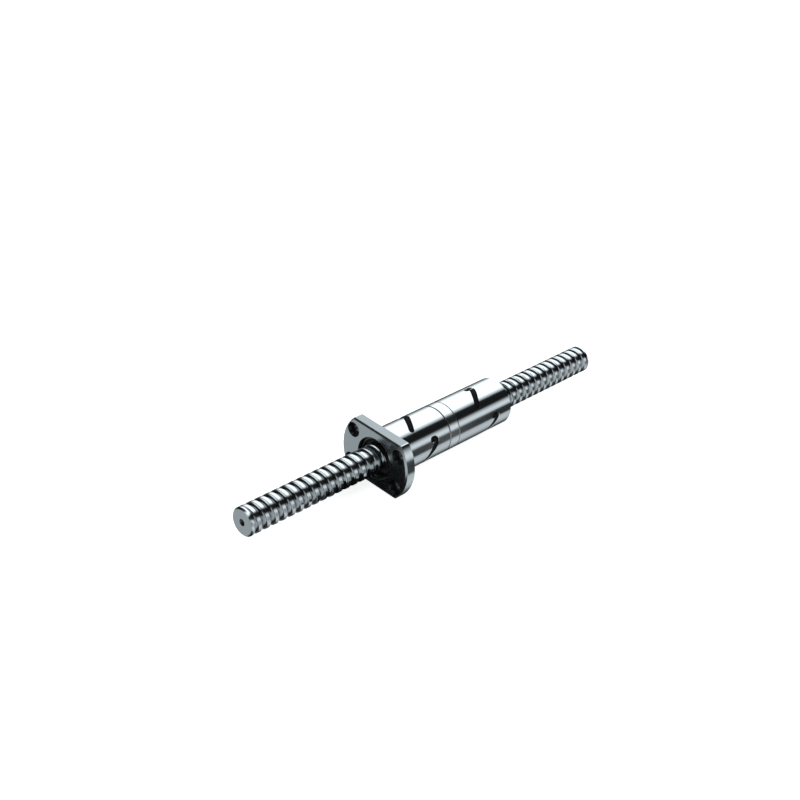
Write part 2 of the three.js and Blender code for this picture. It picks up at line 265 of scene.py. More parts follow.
def swept_thread(outline, start, turns, steps):
    """Rows of points where the outline, repeated every lead, is swept along a right-hand helix."""
    count = len(outline)
    points = []
    for step in range(steps * (turns + 1)):
        for place, radius in outline:
            points.append(around(start + LEAD * step / steps + place, radius, 360 * step / steps))
    faces = []
    for step in range(steps * turns - 1):
        for k in range(count):
            here = step * count + k
            beside = here + 1 if k + 1 < count else (step + steps) * count
            faces.append((here, beside, beside + count, here + count))
    return points, faces


def bisected(obj, x, inward):
    """Cuts away what lies beyond a plane across the axis and returns the rim's points by angle."""
    work = bmesh.new()
    work.from_mesh(obj.data)
    everything = work.verts[:] + work.edges[:] + work.faces[:]
    bmesh.ops.bisect_plane(
        work, geom=everything, dist=1e-6, plane_co=(x, 0, 0), plane_no=(-inward, 0, 0), clear_outer=True
    )
    work.to_mesh(obj.data)
    rim = [v.co.copy() for v in work.verts if abs(v.co.x - x) < 1e-5 and v.is_boundary]
    work.free()
    return sorted(rim, key=lambda p: math.atan2(p.z, p.y))


def shaft_end(rim, face, inward):
    """Points and faces that close a threaded end: collar, chamfer, end face and 60 degree centre hole."""
    pilot = 0.45 * CENTRE_HOLE_RADIUS
    cone = (CENTRE_HOLE_RADIUS - pilot) * math.sqrt(3)
    rings = [
        (END_COLLAR - 0.03, CREST_RADIUS),
        (END_CHAMFER, CREST_RADIUS),
        (0.12, CREST_RADIUS - END_CHAMFER + 0.1),
        (0, CREST_RADIUS - END_CHAMFER - 0.05),
        (0, 4.0),
        (0, CENTRE_HOLE_RADIUS + 0.15),
        (0.15, CENTRE_HOLE_RADIUS),
        (0.15 + cone, pilot),
        (CENTRE_HOLE_DEPTH - 0.3, pilot),
        (CENTRE_HOLE_DEPTH, 0),
    ]
    points = [tuple(p) for p in rim]
    angles = [math.degrees(math.atan2(p.z, p.y)) for p in rim]
    for depth, radius in rings:
        points += [around(face + inward * depth, radius, a) for a in angles]
    return points, grid_faces(len(rings) + 1, len(rim))


def joined(name, parts):
    """One solid from several (points, faces) parts whose rims coincide."""
    points, faces = [], []
    for part_points, part_faces in parts:
        faces += [tuple(i + len(points) for i in face) for face in part_faces]
        points += part_points
    return solid(name, points, faces)


def screw_shaft():
    outline = pointed_groove(CREST_RADIUS, -1, 7)
    turns = math.ceil((SHAFT_BACK - SHAFT_FRONT) / LEAD) + 2
    points, faces = swept_thread(outline, GROOVE_START - LEAD, turns, SHAFT_STEPS)
    blank = bpy.data.objects.new("thread", bpy.data.meshes.new("thread"))
    blank.data.from_pydata(points, [], faces)
    ends = []
    for face, inward in ((SHAFT_FRONT, 1), (SHAFT_BACK, -1)):
        rim = bisected(blank, face + inward * END_COLLAR, inward)
        ends.append(shaft_end(rim, face, inward))
    thread = (
        [tuple(v.co) for v in blank.data.vertices],
        [tuple(p.vertices) for p in blank.data.polygons],
    )
    bpy.data.objects.remove(blank)
    return joined("shaft", [thread, *ends])


def nut_thread(front, back):
    """The space a nut's thread takes, running on past both ends of the nut."""
    outline = pointed_groove(NUT_BORE_RADIUS, 1, 5)
    before = math.floor((front - GROOVE_START) / LEAD) - 2
    turns = math.ceil((back - front) / LEAD) + 4
    start = GROOVE_START + LEAD * before
    points, faces = swept_thread(outline, start, turns, NUT_STEPS)
    count = len(outline)
    last = (NUT_STEPS * turns - 1) * count
    hub = [(start + LEAD / 2, 0, 0), (start + LEAD * (turns + 0.5), 0, 0)]
    first_hub = len(points)
    points += hub
    opening = [*range(count), *range(NUT_STEPS * count, -1, -count)]
    ending = [last + k for k in opening]
    for loop, centre in ((opening, first_hub), (ending, first_hub + 1)):
        for a, b in zip(loop, loop[1:]):
            faces.append((a, b, centre))
    return solid("thread_cutter", points, faces)


# Deflectors ---------------------------------------------------------------------------------------

def circuit_at(deflector_set, index):
    """A deflector's angle and the land that it crosses."""
    angle = deflector_set[0] + index * CIRCUIT_STEP
    return angle, groove_centre(angle) + LEAD * (deflector_set[1] + index + 0.5)


def tongue_line():
    """Points and directions along the comma's middle line, a smooth curve through TONGUE_LINE."""
    ends = [np.array(p) for p in TONGUE_LINE]
    ends = [2 * ends[0] - ends[1], *ends, 2 * ends[-1] - ends[-2]]
    line = []
    for a, b, c, d in zip(ends, ends[1:], ends[2:], ends[3:]):
        for i in range(TONGUE_STEPS):
            t = i / TONGUE_STEPS
            bend = (2 * a - 5 * b + 4 * c - d) * t + (3 * b - a - 3 * c + d) * t * t
            line.append(b + (c - a + bend) * t / 2)
    line.append(ends[-2])
    return np.array(line)


def rounded_tongue(circuit, section, grow):
    """A comma-shaped tongue wrapped round the axis, with round ends. section is a closed outline of
    (share of the half width, radius)."""
    angle, land = circuit
    line = tongue_line()
    along = np.gradient(line, axis=0)
    along /= np.linalg.norm(along, axis=1)[:, None]
    length = np.concatenate([[0], np.cumsum(np.linalg.norm(np.diff(line, axis=0), axis=1))])
    stations = []
    for i, share in enumerate(length / length[-1]):
        half = HEAD_HALF_WIDTH + (TAIL_HALF_WIDTH - HEAD_HALF_WIDTH) * share + grow
        stations.append((line[i], along[i], half))
    rounds = np.radians(np.arange(5, 90, 12))
    start, start_way, start_half = stations[0]
    end, end_way, end_half = stations[-1]
    head = [
        (start - start_way * start_half * math.cos(a), start_way, start_half * math.sin(a))
        for a in rounds
    ]
    tail = [(end + end_way * end_half * math.sin(a), end_way, end_half * math.cos(a)) for a in rounds]
    points = []
    for place, direction, half in [*head, *stations, *tail]:
        for share, radius in section:
            u = place[0] - direction[1] * half * share
            v = place[1] + direction[0] * half * share
            around_nut = angle + math.degrees(v / NUT_RADIUS)
            points.append(around(land + DEFLECTOR_LEAD_IN + u, radius, around_nut))
    rows, columns = len(points) // len(section), len(section)
    faces = grid_faces(rows, columns)
    faces.append(tuple(range(columns)))
    faces.append(tuple(range((rows - 1) * columns, rows * columns)))
    return points, faces


def deflector(number, circuit):
    top = DEFLECTOR_OUTER_RADIUS
    section = [
        (1, DEFLECTOR_INNER_RADIUS), (1, top - 0.25), (0.85, top - 0.08), (0.4, top),
        (-0.4, top), (-0.85, top - 0.08), (-1, top - 0.25), (-1, DEFLECTOR_INNER_RADIUS),
    ]
    return solid(f"deflector_{number}", *rounded_tongue(circuit, section, 0))


def deflector_slot(circuit):
    flare = 1.08
    section = [
        (1, NUT_BORE_RADIUS - 1), (1, NUT_RADIUS - 0.12),
        (flare, NUT_RADIUS + 0.02), (flare, NUT_RADIUS + 1),
        (-flare, NUT_RADIUS + 1), (-flare, NUT_RADIUS + 0.02),
        (-1, NUT_RADIUS - 0.12), (-1, NUT_BORE_RADIUS - 1),
    ]
    return solid("slot", *rounded_tongue(circuit, section, SLOT_CLEARANCE))


# Nuts ---------------------------------------------------------------------------------------------

def flange_radius(degrees, inset):
    """The flange outline's distance from the axis: round, cut to two flats, with rounded corners."""
    a = math.radians(degrees)
    y, z = abs(math.cos(a)), abs(math.sin(a))
    radius, half, corner = FLANGE_RADIUS - inset, FLANGE_HALF_FLATS - inset, FLANGE_CORNER - inset
    corner = max(corner, 0.1)
    centre_z = half - corner
    centre_y = math.sqrt((radius - corner) ** 2 - centre_z ** 2)
    if z * centre_y <= y * centre_z:
        return radius
    if z * centre_y >= y * half:
        return half / z
    reach_in = centre_y * y + centre_z * z
    return reach_in + math.sqrt(reach_in ** 2 - (radius - corner) ** 2 + corner ** 2)


def lofted(name, stations, angles):
    """A closed body through outlines at places along X; a station is (x, radius at an angle)."""
    points = [around(x, radius_at(a), a) for x, radius_at in stations for a in angles]
    count = len(angles)
    faces = grid_faces(len(stations), count)
    faces.append(tuple(range(count)))
    faces.append(tuple(range((len(stations) - 1) * count, len(stations) * count)))
    return solid(name, points, faces)


def flange_angles():
    """Even angles, with closer ones round the flange's four corners."""
    corner = math.degrees(math.asin(FLANGE_HALF_FLATS / FLANGE_RADIUS))
    extra = [
        side + sign * (corner + d)
        for side in (0, 180) for sign in (1, -1) for d in np.arange(-2.4, 2.4, 0.5)
    ]
    even = np.arange(TURNED_STEPS) * 360 / TURNED_STEPS
    return sorted({round(float(a) % 360, 3) for a in [*even, *extra]})


def round_outline(radius):
    return lambda degrees: radius


def flange_outline(inset):
    return lambda degrees: flange_radius(degrees, inset)


def recess(face, inward, size):
    """A wiper's recess with its retaining ring groove, open at an end face."""
    radius, depth = size
    near = RING_INSET
    far = near + RING_GROOVE[0]
    mouth = 0.3
    outline = [
        (-1, 0), (-1, radius + mouth + 1), (mouth, radius), (near, radius),
        (near, radius + RING_GROOVE[1]), (far, radius + RING_GROOVE[1]), (far, radius),
        (depth, radius), (depth, 0),
    ]
    placed = [(face + inward * x, r) for x, r in outline]
    return turned("recess", placed, steps=SMALL_TURNED_STEPS)


def bolt_hole(degrees):
    front, back = FLANGE_FACE, FLANGE_FACE + FLANGE_THICKNESS
    _, y, z = around(0, BOLT_CIRCLE_RADIUS, degrees)
    outline = [
        (front - 1, 0), (front - 1, COUNTERBORE_RADIUS + EDGE_BREAK + 1),
        (front + EDGE_BREAK, COUNTERBORE_RADIUS), (front + COUNTERBORE_DEPTH, COUNTERBORE_RADIUS),
        (front + COUNTERBORE_DEPTH, BOLT_HOLE_RADIUS), (back - EDGE_BREAK, BOLT_HOLE_RADIUS),
        (back + 1, BOLT_HOLE_RADIUS + EDGE_BREAK + 1), (back + 1, 0),
    ]
    return turned("bolt_hole", outline, steps=64, centre=(y, z))


def pin_hole(number):
    front, back, _ = reach(f"locating_pin_{number}")
    _, y, z = around(0, PIN_CIRCLE_RADIUS, PIN_ANGLES[number - 1])
    front, back = front - 0.3, back + 0.3
    outline = [(front, 0), (front, PIN_HOLE_RADIUS), (back, PIN_HOLE_RADIUS), (back, 0)]
    return turned("pin_hole", outline, steps=32, centre=(y, z))


def slots_for(deflector_set):
    return [deflector_slot(circuit_at(deflector_set, i)) for i in range(CIRCUITS)]


def flanged_nut():
    face, back = FLANGE_FACE, FLANGE_FACE + FLANGE_THICKNESS
    stations = [
        (face, flange_outline(FLANGE_CHAMFER)),
        (face + FLANGE_CHAMFER, flange_outline(0)),
        (back - EDGE_BREAK, flange_outline(0)),
        (back, flange_outline(EDGE_BREAK)),
    ]
    for i in range(ROUNDING_STEPS + 1):
        a = math.radians(90 * i / ROUNDING_STEPS)
        x = back + BARREL_FILLET * (1 - math.cos(a))
        stations.append((x, round_outline(NUT_RADIUS + BARREL_FILLET * (1 - math.sin(a)))))
    stations += [
        (FLANGED_NUT_BACK - NUT_EDGE, round_outline(NUT_RADIUS)),
        (FLANGED_NUT_BACK, round_outline(NUT_RADIUS - NUT_EDGE)),
    ]
    body = lofted("flanged_nut_body", stations, flange_angles())
    return cut(body, [
        recess(face, 1, FRONT_RECESS),
        nut_thread(face, FLANGED_NUT_BACK),
        *[bolt_hole(a) for a in BOLT_ANGLES],
        *slots_for(DEFLECTOR_SETS[0]),
        pin_hole(1),
        pin_hole(2),
    ])


def plain_nut():
    front, back = PLAIN_NUT_FRONT, PLAIN_NUT_BACK
    outline = [
        (front, 0), (front, NUT_RADIUS - NUT_EDGE), (front + NUT_EDGE, NUT_RADIUS),
        (back - NUT_REAR_EDGE, NUT_RADIUS), (back, NUT_RADIUS - NUT_REAR_EDGE), (back, 0),
    ]
    return cut(turned("plain_nut_body", outline), [
        recess(back, -1, REAR_RECESS),
        nut_thread(front, back),
        *slots_for(DEFLECTOR_SETS[1]),
        pin_hole(1),
        pin_hole(2),
    ])


def spacer():
    """The ring between the nuts, ground to fit with a hair's breadth at each side."""
    front, back = FLANGED_NUT_BACK + SPACER_GAP, PLAIN_NUT_FRONT - SPACER_GAP
    _, _, outer = reach("preload_spacer")
    inner = SPACER_BORE_RADIUS
    outline = [
        (front, inner + EDGE_BREAK), (front, outer - SPACER_FRONT_EDGE),
        (front + SPACER_FRONT_EDGE, outer), (back - EDGE_BREAK, outer), (back, outer - EDGE_BREAK),
        (back, inner + EDGE_BREAK), (back - EDGE_BREAK, inner), (front + EDGE_BREAK, inner),
    ]
    return cut(turned("spacer_ring", outline, closed=True), [pin_hole(1), pin_hole(2)])


# Small pieces -------------------------------------------------------------------------------------

def wiper(name, node):
    """A ring with soft lips that just clear the thread, and rounded outer edges."""
    front, back, outer = reach(node)
    lip_radius, root_radius = CREST_RADIUS + LIP_CLEARANCE, CREST_RADIUS + 0.75
    pitch = (back - front) / WIPER_LIPS
    edge = WIPER_EDGE
    outline = [(front, lip_radius + 0.5), (front, outer - edge)]
    for i in range(1, ROUNDING_STEPS + 1):
        a = math.radians(90 * i / ROUNDING_STEPS)
        outline.append((front + edge * (1 - math.cos(a)), outer - edge * (1 - math.sin(a))))
    for i in range(ROUNDING_STEPS + 1):
        a = math.radians(90 * i / ROUNDING_STEPS)
        outline.append((back - edge * (1 - math.sin(a)), outer - edge * (1 - math.cos(a))))
    outline.append((back, root_radius))
    for i in reversed(range(WIPER_LIPS)):
        start = front + i * pitch
        outline += [
            (start + 0.55 * pitch, root_radius),
            (start + 0.25 * pitch, lip_radius),
            (start + 0.08 * pitch, lip_radius),
        ]
    return turned(name, outline, closed=True, steps=SMALL_TURNED_STEPS)


def retaining_ring(name, node):
    """A snap ring, open at the bottom, with an eyed lug on each side of the opening."""
    front, back, outer = reach(node)
    inner, lug_inner = outer - 1.7, max(outer - 2.8, CREST_RADIUS + 0.5)
    gap, lug = 9, 13  # degrees, from the middle of the opening and then along the lug
    eye_radius = 0.6
    angles = np.concatenate([np.arange(gap, 360 - gap, 2), [360 - gap]]) - 90
    points = []
    for a in angles:
        from_gap = min((a + 90) - gap, 360 - gap - (a + 90))
        share = min(max((lug + 3 - from_gap) / 6, 0), 1)
        hole_side = inner + (lug_inner - inner) * share * share * (3 - 2 * share)
        for x, radius in ((front, hole_side), (front, outer), (back, outer), (back, hole_side)):
            points.append(around(x, radius, float(a)))
    rows = len(angles)
    faces = grid_faces(rows, 4)
    faces += [(0, 1, 2, 3), tuple(range(4 * rows - 4, 4 * rows))]
    eyes = []
    for side in (-1, 1):
        _, y, z = around(0, (inner + lug_inner) / 2 + 0.25, -90 + side * (gap + lug / 2))
        outline = [(front - 1, 0), (front - 1, eye_radius), (back + 1, eye_radius), (back + 1, 0)]
        eyes.append(turned("eye", outline, steps=24, centre=(y, z)))
    return cut(solid(name, points, faces), eyes)


def dowel(number):
    front, back, _ = reach(f"locating_pin_{number}")
    _, y, z = around(0, PIN_CIRCLE_RADIUS, PIN_ANGLES[number - 1])
    edge = 0.3
    outline = [
        (front, 0), (front, PIN_RADIUS - edge), (front + edge, PIN_RADIUS),
        (back - edge, PIN_RADIUS), (back, PIN_RADIUS - edge), (back, 0),
    ]
    return turned(f"dowel_{number}", outline, steps=32, centre=(y, z))


def balls(number, circuit):
    """A circuit's balls, one against the next along the groove, clear of the deflector."""
    angle, land = circuit
    step = 360 * BALL_SPACING / math.hypot(2 * math.pi * BALL_PITCH_RADIUS, LEAD)
    first = (360 - step * (BALLS_PER_CIRCUIT - 1)) / 2
    work = bmesh.new()
    for i in range(BALLS_PER_CIRCUIT):
        past = first + i * step
        place = around(land - LEAD / 2 + LEAD * past / 360, BALL_PITCH_RADIUS, angle + past)
        at_place = Matrix.Translation(place)
        bmesh.ops.create_icosphere(work, subdivisions=3, radius=BALL_RADIUS, matrix=at_place)
    mesh = bpy.data.meshes.new(f"balls_{number}")
    work.to_mesh(mesh)
    work.free()
    obj = bpy.data.objects.new(f"balls_{number}", mesh)
    bpy.context.scene.collection.objects.link(obj)
    return obj


# Finishes -----------------------------------------------------------------------------------------

def add_node(tree, kind, inputs=(), **settings):
    """A shader node with its settings made and its inputs linked or set."""
    node = tree.nodes.new(kind)
    for name, value in settings.items():
        setattr(node, name, value)
    for name, value in dict(inputs).items():
        if isinstance(value, bpy.types.NodeSocket):
            tree.links.new(value, node.inputs[name])
        else:
            node.inputs[name].default_value = value
    return node


def calc(tree, operation, *values):
    """A math node's result; each value is a number or a socket."""
    return add_node(tree, "ShaderNodeMath", enumerate(values), operation=operation).outputs[0]


def spread_over(tree, value, low, high):
    """Maps 0 to 1 onto low to high."""
    mapped = add_node(tree, "ShaderNodeMapRange", {"Value": value, "To Min": low, "To Max": high})
    return mapped.outputs["Result"]


def blended(tree, share, first, second):
    """Colours mixed by a share from 0, all first, to 1, all second."""
    mix = add_node(tree, "ShaderNodeMix", data_type="RGBA")
    for index, value in ((0, share), (6, first), (7, second)):
        if isinstance(value, bpy.types.NodeSocket):
            tree.links.new(value, mix.inputs[index])
        else:
            mix.inputs[index].default_value = value
    return mix.outputs[2]


def tone(colour, level=1.0):
    return (colour[0] * level, colour[1] * level, colour[2] * level, 1)


def new_material(name, **constants):
    """A material with a Principled shader whose constant sockets are set directly."""
    material = bpy.data.materials.new(name)
    material.use_nodes = True
    tree = material.node_tree
    shader = tree.nodes["Principled BSDF"]
    for socket, value in constants.items():
        shader.inputs[socket.replace("_", " ")].default_value = value
    return material, tree, shader


def marks_across(tree, direction):
    """Object coordinates, then one that runs across the machining marks and one along them."""
    coordinates = add_node(tree, "ShaderNodeTexCoord").outputs["Object"]
    x, y, z = add_node(tree, "ShaderNodeSeparateXYZ", {0: coordinates}).outputs
    if direction == "straight":
        return coordinates, y, z
    if direction == "face":
        squares = calc(tree, "ADD", calc(tree, "MULTIPLY", y, y), calc(tree, "MULTIPLY", z, z))
        return coordinates, calc(tree, "SQRT", squares), x
    return coordinates, x, calc(tree, "ADD", y, z)


def steel(
    name, colour, roughness, direction="round", pitch=0.25 * MM, relief=0.6e-6, oil=0.0, groove_shade=1.0
):
    """Bare steel with machining marks of a pitch and relief, fine scratches and a patchy oil film. On a
    thread, a groove level below 1 darkens the colour down into the grooves: painted shade."""
    material, tree, shader = new_material(name, Metallic=1.0)
    coordinates, fine, slow = marks_across(tree, direction)
    line = add_node(tree, "ShaderNodeCombineXYZ", {
        0: calc(tree, "MULTIPLY", fine, 1 / pitch), 1: calc(tree, "MULTIPLY", slow, 40.0),
    }).outputs[0]
    marks = add_node(tree, "ShaderNodeTexNoise", {
        "Vector": line, "Scale": 1.0, "Detail": 3.0,
    }).outputs["Fac"]
    patches = add_node(tree, "ShaderNodeTexNoise", {
        "Vector": coordinates, "Scale": 90.0, "Detail": 4.0, "Roughness": 0.6,
    }).outputs["Fac"]
    marked = blended(tree, marks, tone(colour, 0.93), tone(colour, 1.05))
    film = calc(tree, "MULTIPLY", patches, OIL_FILM + oil)
    surface = blended(tree, film, marked, tone(OIL))
    # painted shade: the colour darkens from the lands down into the grooves
    if groove_shade < 1:
        _, radius, _ = marks_across(tree, "face")
        height = add_node(tree, "ShaderNodeMapRange", {
            "Value": radius, "From Min": GROOVE_SHADE_RADIUS * MM, "From Max": LAND_SHADE_RADIUS * MM,
        }).outputs["Result"]
        surface = blended(tree, height, tone(colour, groove_shade), surface)
    tree.links.new(surface, shader.inputs["Base Color"])
    grain = calc(tree, "ADD", calc(tree, "MULTIPLY", marks, 0.6), calc(tree, "MULTIPLY", patches, 0.4))
    varied = spread_over(tree, grain, roughness * 0.7, roughness * 1.35)
    tree.links.new(varied, shader.inputs["Roughness"])
    bump = add_node(tree, "ShaderNodeBump", {"Strength": 1.0, "Distance": relief, "Height": marks})
    tree.links.new(bump.outputs[0], shader.inputs["Normal"])
    return material


def polymer(name, colour, roughness, relief):
    """Moulded black polymer: a fine-grained surface with a faint sheen and lighter scuffs."""
    material, tree, shader = new_material(name, Metallic=0.0, Specular_IOR_Level=0.05)
    coordinates = add_node(tree, "ShaderNodeTexCoord").outputs["Object"]
    grain = add_node(tree, "ShaderNodeTexNoise", {
        "Vector": coordinates, "Scale": 3500.0, "Detail": 4.0,
    }).outputs["Fac"]
    scuffs = add_node(tree, "ShaderNodeTexNoise", {
        "Vector": coordinates, "Scale": 300.0, "Detail": 5.0,
    }).outputs["Fac"]
    surface = blended(tree, scuffs, tone(colour, 0.75), tone(colour, 1.3))
    tree.links.new(surface, shader.inputs["Base Color"])
    varied = spread_over(tree, scuffs, roughness * 0.8, roughness * 1.3)
    tree.links.new(varied, shader.inputs["Roughness"])
    bump = add_node(tree, "ShaderNodeBump", {"Strength": 1.0, "Distance": relief, "Height": grain})
    tree.links.new(bump.outputs[0], shader.inputs["Normal"])
    return material


OIL = (0.55, 0.53, 0.48)
OIL_FILM = 0.16  # share of it on bare steel
# Radii of the painted shade in the thread's grooves:
GROOVE_SHADE_RADIUS = 6.2  # full groove tone below this radius, none above the next
LAND_SHADE_RADIUS = 7.2
STEEL = (0.74, 0.79, 0.82)
GROUND = steel("ground_barrel", STEEL, 0.11)
SPACER_FINISH = steel("ground_spacer", (0.86, 0.90, 0.92), 0.16)
MILLED_FLAT = steel("milled_flat", (0.31, 0.345, 0.36), 0.34, "straight", 0.5 * MM, 2e-6)
TURNED_FACE = steel("turned_face", (0.44, 0.49, 0.51), 0.26, "face", 0.3 * MM, 1.2e-6)
# Painted shade: the chamfers where the nuts meet the spacer are darkened for the shade in the gap between
# the parts.
JOINT_SHADE = steel("painted_joint_shade", (0.22, 0.24, 0.25), 0.3)
BORE = steel("oiled_bore", (0.45, 0.46, 0.46), 0.28, oil=0.3)
# Painted shade: the walls of the bolt holes and the centre holes are coloured near black for the shade
# inside them.
HOLE_SHADE = steel("painted_hole_shade", (0.07, 0.075, 0.08), 0.4)
# The thread's grooves carry painted shade, darkest at their floors.
THREAD = steel("ground_thread", STEEL, 0.14, pitch=0.2 * MM, groove_shade=0.38)
BALL_FINISH = steel("ball_steel", (0.88, 0.89, 0.90), 0.06, relief=0.1e-6)
PIN_FINISH = steel("pin_steel", (0.70, 0.72, 0.73), 0.2)
SPRING = steel("blackened_spring_steel", (0.05, 0.055, 0.06), 0.35, "face")
WIPER_FINISH = polymer("wiper_polymer", (0.022, 0.021, 0.020), 0.5, 4e-6)
DEFLECTOR_FINISH = polymer("deflector_polymer", (0.005, 0.005, 0.006), 0.6, 3e-6)


def finish_faces(obj, finish_of):
    """Gives each face the finish that finish_of says for its middle and its normal."""
    mesh = obj.data
    finishes = []
    for polygon in mesh.polygons:
        material = finish_of(polygon.center, polygon.normal)
        if material not in finishes:
            finishes.append(material)
            mesh.materials.append(material)
        polygon.material_index = finishes.index(material)


def nut_finish(middle, normal):
    x, radius = middle.x, math.hypot(middle.y, middle.z)
    in_flange = x < FLANGE_FACE + FLANGE_THICKNESS + 0.01 and radius > NUT_RADIUS
    if in_flange:
        in_hole = any(
            math.hypot(*(np.array(around(0, BOLT_CIRCLE_RADIUS, a))[1:] - (middle.y, middle.z)))
            < COUNTERBORE_RADIUS + EDGE_BREAK for a in BOLT_ANGLES
        )
        # painted shade inside the bolt holes
        if in_hole and FLANGE_FACE + 0.01 < x < FLANGE_FACE + FLANGE_THICKNESS - 0.01:
            return HOLE_SHADE
        if abs(normal.x) > 0.5:
            return TURNED_FACE
        return MILLED_FLAT if abs(normal.z) > 0.999 else GROUND
    if abs(normal.x) > 0.9:
        return TURNED_FACE
    if radius < NUT_RADIUS - 1.2:
        return BORE
    # painted shade on the nut chamfers next to the spacer
    at_spacer = FLANGED_NUT_BACK - NUT_EDGE < x < PLAIN_NUT_FRONT + NUT_EDGE
    return JOINT_SHADE if at_spacer and abs(normal.x) > 0.4 else GROUND


def spacer_finish(middle, normal):
    # the spacer's ends and chamfers carry the painted shade of the gaps beside it
    return JOINT_SHADE if abs(normal.x) > 0.4 else SPACER_FINISH


def shaft_finish(middle, normal):
    is_end = min(middle.x - SHAFT_FRONT, SHAFT_BACK - middle.x) < 0.5 * END_CHAMFER
    # painted shade inside the centre holes
    if math.hypot(middle.y, middle.z) < 2 and abs(normal.x) < 0.95:
        return HOLE_SHADE
    return TURNED_FACE if is_end else THREAD


# Assembly -----------------------------------------------------------------------------------------

def build_pieces():
    shaft = screw_shaft()
    finish_faces(shaft, shaft_finish)
    piece(shaft, "shaft", ["screw_shaft"], THREAD)
    for make, node in ((flanged_nut, "flanged_nut"), (plain_nut, "plain_nut")):
        nut = make()
        finish_faces(nut, nut_finish)
        piece(nut, "nut", [node], GROUND)
    ring = spacer()
    finish_faces(ring, spacer_finish)
    piece(ring, "nut", ["preload_spacer"], SPACER_FINISH)
    for end in ("front", "rear"):
        node = f"{end}_wiper"
        piece(wiper(f"wiper_{end}", node), "wipers", [node], WIPER_FINISH)
        node = f"{end}_retaining_ring"
        piece(retaining_ring(f"snap_ring_{end}", node), "nut", [node], SPRING)
    for number in (1, 2):
        piece(dowel(number), "nut", [f"locating_pin_{number}"], PIN_FINISH)
    for i in range(2 * CIRCUITS):
        circuit = circuit_at(DEFLECTOR_SETS[i // CIRCUITS], i % CIRCUITS)
        piece(deflector(i + 1, circuit), "nut", [f"return_deflector_{i + 1}"],
              DEFLECTOR_FINISH)
        piece(balls(i + 1, circuit), "nut", [f"ball_row_{i + 1}"], BALL_FINISH)


# Studio -------------------------------------------------------------------------------------------

CAMERA_AIM = Vector((-8.6, 14.0, 14.8)) * MM
CAMERA_DISTANCE = 702.9 * MM
CAMERA_HEADING = math.radians(48.85)  # from +Y towards +X
CAMERA_DOWN = math.radians(31.81)
CAMERA_ROLL = math.radians(6.51)
CAMERA_LENS = 63.71
COOL = (0.94, 1.0, 1.03)  # tint of the studio's light
FLOOR_HALF_SIZE = 2.0
SOFTBOX_SIZE = 0.9
SOFTBOX_POWER = 5.0
SOFTBOX_PLACE = (-0.15, -0.2, 0.9)
# The dark card on the floor, a painted shadow seen only in reflections: its reach in front of the flange,
# its sides and its height, in millimetres
SHADE_CARD_REACH = (34, 0.5)
SHADE_CARD_SIDES = (-45, 13)
SHADE_CARD_HEIGHT = 0.2

# Levels of the light that surrounds the object, by the angle about the screw's axis in degrees: the
# strips lie towards either end of the screw, and BETWEEN lies across the middle.
STRIPS = (
    (-90, 0.18), (-75, 0.06), (-20, 0.06), (-8, 0.24), (2, 0.6), (11, 1.0), (20, 1.5), (92, 1.5),
    (99, 1.0), (106, 0.5), (112, 0.01), (145, 0.01), (153, 0.42), (160, 0.76), (168, 0.88), (178, 0.60),
    (184, 0.42), (200, 0.36), (208, 0.42), (219, 0.58), (240, 0.64), (254, 0.52), (263, 0.36), (268, 0.2),
)
BETWEEN = (
    (-90, 0.02), (-70, 0.1), (-55, 0.66), (-30, 0.66), (-15, 0.25), (0, 0.02), (160, 0.02), (176, 0.9),
    (232, 0.9), (245, 0.10), (268, 0.02),
)
# Where the strips begin: the share of the way along +X, by the same angle
STRIP_START = ((-90, 0.38), (30, 0.42), (58, 0.25), (100, 0.22), (112, 0.38), (268, 0.38))
STRIP_START_BEHIND = 0.72
STRIP_SOFTNESS = 0.16
# A dark gap low on the near side of the strips, which opens and closes along +X
GAP_SHARE = ((-90, 0), (176, 0), (184, 1), (213, 1), (221, 0))
GAP_LIGHT = (
    (0.50, 1.0), (0.603, 0.9), (0.614, 0.0), (0.638, 0.0), (0.650, 0.35), (0.656, 0.42), (0.661, 0.25),
    (0.667, 0.14), (0.677, 0.03), (0.715, 0.0), (0.730, 0.9), (0.76, 0.9),
)


def add_camera():
    ahead = Vector((
        math.sin(CAMERA_HEADING) * math.cos(CAMERA_DOWN),
        math.cos(CAMERA_HEADING) * math.cos(CAMERA_DOWN),
        -math.sin(CAMERA_DOWN),
    ))
    level = Vector((math.cos(CAMERA_HEADING), -math.sin(CAMERA_HEADING), 0))
    up = level.cross(ahead)
    right = level * math.cos(CAMERA_ROLL) + up * math.sin(CAMERA_ROLL)
    camera = bpy.data.objects.new("camera", bpy.data.cameras.new("camera"))
    camera.data.lens = CAMERA_LENS
    camera.data.sensor_width = 36
    camera.data.clip_start = 10 * MM
    camera.matrix_world = Matrix.Translation(CAMERA_AIM - ahead * CAMERA_DISTANCE) @ Matrix((
        right, right.cross(ahead), -ahead,
    )).transposed().to_4x4()
    bpy.context.scene.collection.objects.link(camera)
    bpy.context.scene.camera = camera


def ramp_of(tree, share, stops, tint=(1, 1, 1)):
    """A value's stops of (share, level), as a colour ramp."""
    ramp = add_node(tree, "ShaderNodeValToRGB", {0: share})
    elements = ramp.color_ramp.elements
    elements.remove(elements[1])
    for i, (place, level) in enumerate(stops):
        element = elements[0] if i == 0 else elements.new(place)
        element.color = (tint[0] * level, tint[1] * level, tint[2] * level, 1)
    return ramp.outputs[0]


def by_angle(stops):
    """Stops by degrees about the axis as shares of one turn, which starts straight down."""
    return [((degrees + 90) / 360, level) for degrees, level in stops]


def smooth_step(tree, value):
    eased = add_node(tree, "ShaderNodeMapRange", {"Value": value}, interpolation_type="SMOOTHSTEP")
    return eased.outputs["Result"]


